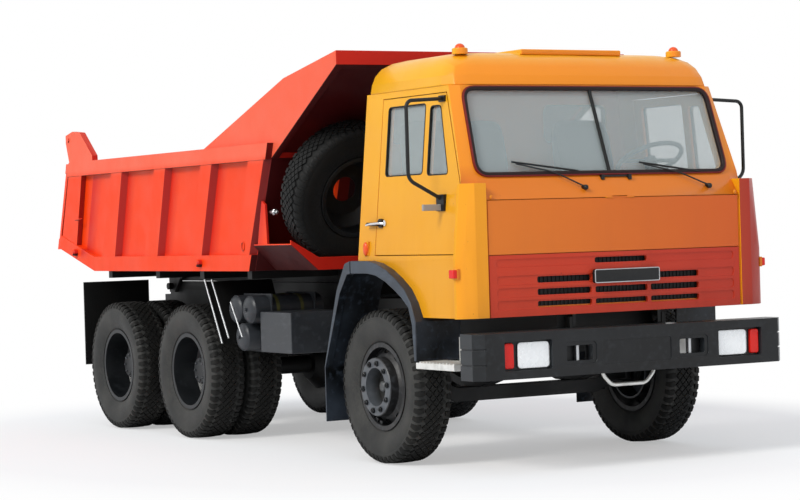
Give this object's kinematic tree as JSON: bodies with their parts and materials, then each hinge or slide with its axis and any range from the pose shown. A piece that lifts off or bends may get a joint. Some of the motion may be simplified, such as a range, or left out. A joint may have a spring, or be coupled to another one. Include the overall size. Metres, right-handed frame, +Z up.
{
  "type": "three-axle tipper lorry",
  "caption": "Forward-control tipper lorry with a tilting cab, a ribbed tipping bed with a cab visor, a hinged tailgate and a telescopic hoist.",
  "frame": {"origin": "on the ground, in the middle of the overall length and width", "axes": "+X to the vehicle's left, -Y forward, +Z up"},
  "size_m": [2.712, 6.599, 2.78],
  "materials": {
    "paint_bed": "gloss",
    "paint_cab": "gloss",
    "paint_grille": "satin",
    "fender_plastic": "matte",
    "frame_paint": "satin",
    "black_plastic": "matte",
    "step_metal": "brushed",
    "lamp_lens": "gloss",
    "tyre_rubber": "matte",
    "rim_paint": "satin",
    "window_glass": "gloss",
    "seat_fabric": "matte",
    "hoist_steel": "brushed"
  },
  "bodies": {
    "chassis": {"frame": "frame_paint", "tipper_subframe": "frame_paint", "leaf_springs": "frame_paint", "front_axle_beam": "frame_paint", "driveline": "frame_paint", "drive_axles": "frame_paint", "crossmembers": "frame_paint", "fuel_tank": "frame_paint", "battery_box": "frame_paint", "air_tanks": "frame_paint", "mudflaps": "black_plastic", "lamps": "lamp_lens", "bumper": "black_plastic", "steps": "step_metal", "rear_arches": "fender_plastic"},
    "knuckle_left": {"knuckle_left": "frame_paint"},
    "knuckle_right": {"knuckle_right": "frame_paint"},
    "tie_rod": {"tie_rod": "frame_paint"},
    "front_wheel_left": {"front_tyre_left": "tyre_rubber", "front_rim_left": "rim_paint"},
    "front_wheel_right": {"front_tyre_right": "tyre_rubber", "front_rim_right": "rim_paint"},
    "middle_wheels_left": {"middle_tyres_left": "tyre_rubber", "middle_rims_left": "rim_paint"},
    "middle_wheels_right": {"middle_tyres_right": "tyre_rubber", "middle_rims_right": "rim_paint"},
    "rear_wheels_left": {"rear_tyres_left": "tyre_rubber", "rear_rims_left": "rim_paint"},
    "rear_wheels_right": {"rear_tyres_right": "tyre_rubber", "rear_rims_right": "rim_paint"},
    "cab": {"cab_shell": "paint_cab", "cab_roof": "paint_cab", "cab_glass": "window_glass", "grille_panel": "paint_grille", "corner_deflectors": "paint_cab", "cab_lamps": "lamp_lens", "dashboard": "black_plastic", "seats": "seat_fabric", "front_arches": "fender_plastic"},
    "lid": {"service_lid": "paint_cab"},
    "door_left": {"door_left": "paint_cab", "door_glass_left": "window_glass", "door_fittings_left": "black_plastic"},
    "door_right": {"door_right": "paint_cab", "door_glass_right": "window_glass", "door_fittings_right": "black_plastic"},
    "bed": {"bed_shell": "paint_bed", "bed_side_frames": "paint_bed", "bed_underframe": "paint_bed", "spare_cradle": "paint_bed", "spare_tyre": "tyre_rubber", "spare_rim": "rim_paint"},
    "tailgate": {"tailgate": "paint_bed"},
    "hoist_barrel": {"hoist_barrel": "hoist_steel"},
    "hoist_stage_1": {"hoist_stage_1": "hoist_steel"},
    "hoist_stage_2": {"hoist_stage_2": "hoist_steel"},
    "hoist_stage_3": {"hoist_stage_3": "hoist_steel"},
    "hoist_stage_4": {"hoist_stage_4": "hoist_steel"}
  },
  "joints": [
    {"name": "steer_left", "type": "hinge", "parent": "chassis", "child": "knuckle_left", "pos_m": [0.85, -1.9615, 0.515], "axis": [0, 0, 1], "range_deg": [-35, 35]},
    {"name": "steer_right", "type": "hinge", "parent": "chassis", "child": "knuckle_right", "pos_m": [-0.85, -1.9615, 0.515], "axis": [0, 0, 1], "range_deg": [-35, 35]},
    {"name": "tie_rod_shift", "type": "slide", "parent": "chassis", "child": "tie_rod", "axis": [1, 0, 0], "range_m": [-0.12, 0.12]},
    {"name": "front_spin_left", "type": "hinge", "parent": "knuckle_left", "child": "front_wheel_left", "pos_m": [1.013, -1.9615, 0.515], "axis": [1, 0, 0], "continuous": true},
    {"name": "front_spin_right", "type": "hinge", "parent": "knuckle_right", "child": "front_wheel_right", "pos_m": [-1.013, -1.9615, 0.515], "axis": [1, 0, 0], "continuous": true},
    {"name": "middle_spin_left", "type": "hinge", "parent": "chassis", "child": "middle_wheels_left", "pos_m": [0.928, 0.8785, 0.515], "axis": [1, 0, 0], "continuous": true},
    {"name": "middle_spin_right", "type": "hinge", "parent": "chassis", "child": "middle_wheels_right", "pos_m": [-0.928, 0.8785, 0.515], "axis": [1, 0, 0], "continuous": true},
    {"name": "rear_spin_left", "type": "hinge", "parent": "chassis", "child": "rear_wheels_left", "pos_m": [0.928, 2.1985, 0.515], "axis": [1, 0, 0], "continuous": true},
    {"name": "rear_spin_right", "type": "hinge", "parent": "chassis", "child": "rear_wheels_right", "pos_m": [-0.928, 2.1985, 0.515], "axis": [1, 0, 0], "continuous": true},
    {"name": "cab_tilt", "type": "hinge", "parent": "chassis", "child": "cab", "pos_m": [0, -3.0565, 0.93], "axis": [1, 0, 0], "range_deg": [0, 40]},
    {"name": "lid_swing", "type": "hinge", "parent": "cab", "child": "lid", "pos_m": [0, -3.1555, 1.7225], "axis": [-1, 0, 0], "range_deg": [0, 75]},
    {"name": "door_left_swing", "type": "hinge", "parent": "cab", "child": "door_left", "pos_m": [1.14262, -2.9815, 1.6], "axis": [-0.0973, 0, 0.9953], "range_deg": [-62, 0]},
    {"name": "door_right_swing", "type": "hinge", "parent": "cab", "child": "door_right", "pos_m": [-1.14262, -2.9815, 1.6], "axis": [0.0973, 0, 0.9953], "range_deg": [0, 62]},
    {"name": "bed_tip", "type": "hinge", "parent": "chassis", "child": "bed", "pos_m": [0, 2.6785, 1.13], "axis": [-1, 0, 0], "range_deg": [0, 55]},
    {"name": "gate_swing", "type": "hinge", "parent": "bed", "child": "tailgate", "pos_m": [0, 2.9735, 2.385], "axis": [1, 0, 0], "range_deg": [0, 70]},
    {"name": "hoist_swing", "type": "hinge", "parent": "chassis", "child": "hoist_barrel", "pos_m": [0, 0.4385, 0.7], "axis": [-1, 0, 0], "range_deg": [0, 28]},
    {"name": "hoist_slide_1", "type": "slide", "parent": "hoist_barrel", "child": "hoist_stage_1", "axis": [0, -0.0728, 0.9973], "range_m": [0, 0.52]},
    {"name": "hoist_slide_2", "type": "slide", "parent": "hoist_stage_1", "child": "hoist_stage_2", "axis": [0, -0.0728, 0.9973], "range_m": [0, 0.52]},
    {"name": "hoist_slide_3", "type": "slide", "parent": "hoist_stage_2", "child": "hoist_stage_3", "axis": [0, -0.0728, 0.9973], "range_m": [0, 0.52]},
    {"name": "hoist_slide_4", "type": "slide", "parent": "hoist_stage_3", "child": "hoist_stage_4", "axis": [0, -0.0728, 0.9973], "range_m": [0, 0.52]}
  ],
  "couplings": [
    {"joint": "steer_right", "follows": "steer_left", "ratio": 1},
    {"joint": "tie_rod_shift", "follows": "steer_left", "m_per_rad": -0.19},
    {"joint": "hoist_swing", "follows": "bed_tip", "ratio": 0.5},
    {"joint": "hoist_slide_1", "follows": "bed_tip", "m_per_rad": 0.52921},
    {"joint": "hoist_slide_2", "follows": "bed_tip", "m_per_rad": 0.52921},
    {"joint": "hoist_slide_3", "follows": "bed_tip", "m_per_rad": 0.52921},
    {"joint": "hoist_slide_4", "follows": "bed_tip", "m_per_rad": 0.52921}
  ]
}
